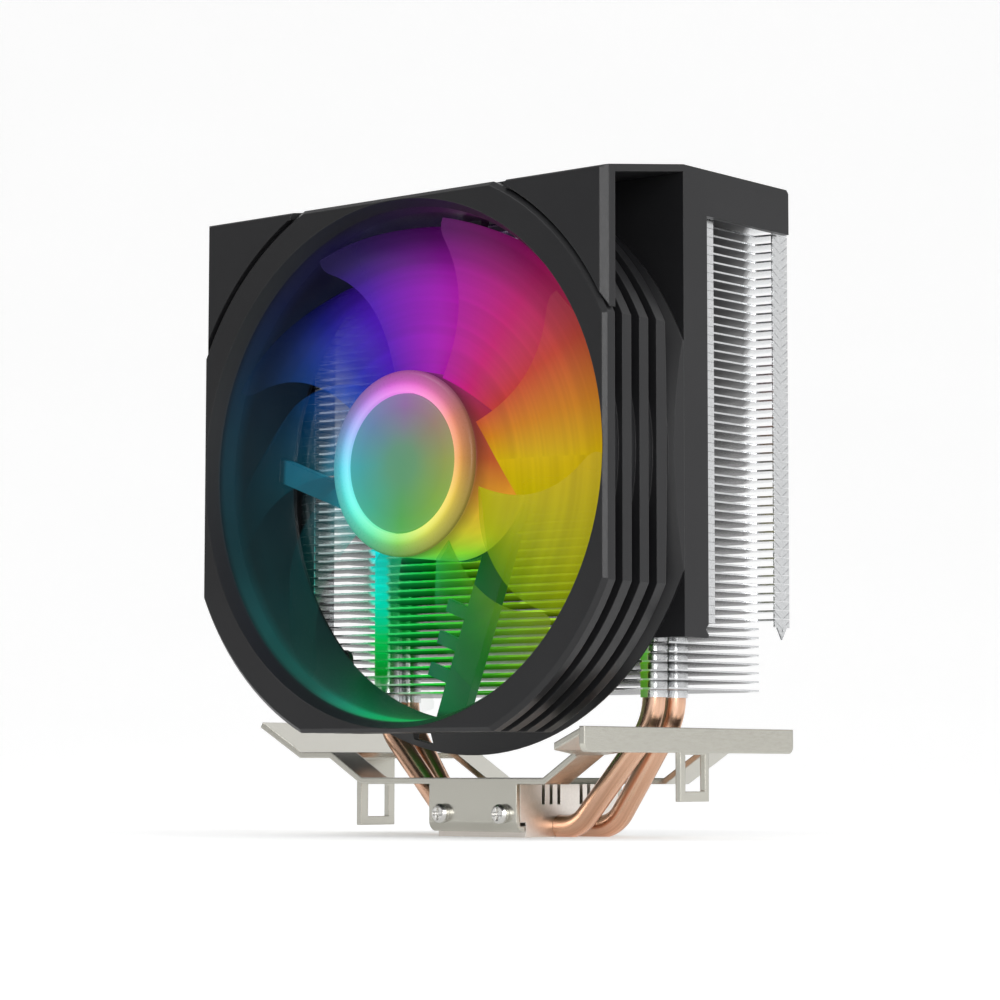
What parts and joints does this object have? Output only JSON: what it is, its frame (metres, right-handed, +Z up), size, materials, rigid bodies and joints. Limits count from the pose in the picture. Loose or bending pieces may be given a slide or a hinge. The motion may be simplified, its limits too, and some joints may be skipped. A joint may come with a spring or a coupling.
{
  "type": "cpu tower cooler",
  "caption": "Tower cooler for a desktop processor: copper heat pipes through a fin stack, spring clip, black shroud and a round lit fan.",
  "frame": {"origin": "centre of the base's flat contact face, on the processor", "axes": "+X to the viewer's right when facing the fan, +Y from the fan towards the fins, +Z up the tower away from the processor"},
  "size_m": [0.1272, 0.0861, 0.1475],
  "materials": {
    "fan_plastic": "satin",
    "shroud_plastic": "satin",
    "blade_plastic": "translucent",
    "lens_plastic": "translucent",
    "disc_label": "satin",
    "dark_plastic": "matte",
    "light_plastic": "satin",
    "fin_aluminium": "bright rolled",
    "block_aluminium": "milled",
    "pipe_copper": "brushed copper",
    "clip_steel": "nickel plated",
    "screw_steel": "zinc plated",
    "dark_steel": "black oxide",
    "magnet_ferrite": "matte",
    "coil_copper": "enamelled wire",
    "bearing_bronze": "sintered",
    "board": "satin"
  },
  "bodies": {
    "cooler": {"base_block": "block_aluminium", "heat_pipe_front": "pipe_copper", "heat_pipe_rear": "pipe_copper", "tabbed_fins": "fin_aluminium", "plain_fins": "fin_aluminium", "mounting_clip": "clip_steel", "front_clip_screws": "screw_steel", "rear_clip_screws": "screw_steel", "shroud": "shroud_plastic", "fan_frame": "fan_plastic", "fan_screws": "dark_steel", "bearing_sleeve": "bearing_bronze", "bearing_cap": "dark_plastic", "stator_core": "screw_steel", "coil_bobbins": "light_plastic", "stator_windings": "coil_copper", "motor_board": "board", "board_leds": "light_plastic", "speed_sensor": "dark_plastic"},
    "rotor": {"impeller": "blade_plastic", "hub_lens": "lens_plastic", "hub_disc": "disc_label", "rotor_yoke": "dark_steel", "ring_magnet": "magnet_ferrite", "rotor_shaft": "screw_steel", "shaft_clip": "light_plastic"}
  },
  "joints": [
    {"name": "rotor_spin", "type": "hinge", "parent": "cooler", "child": "rotor", "pos_m": [0, -0.0303, 0.0835], "axis": [0, 1, 0], "continuous": true}
  ]
}
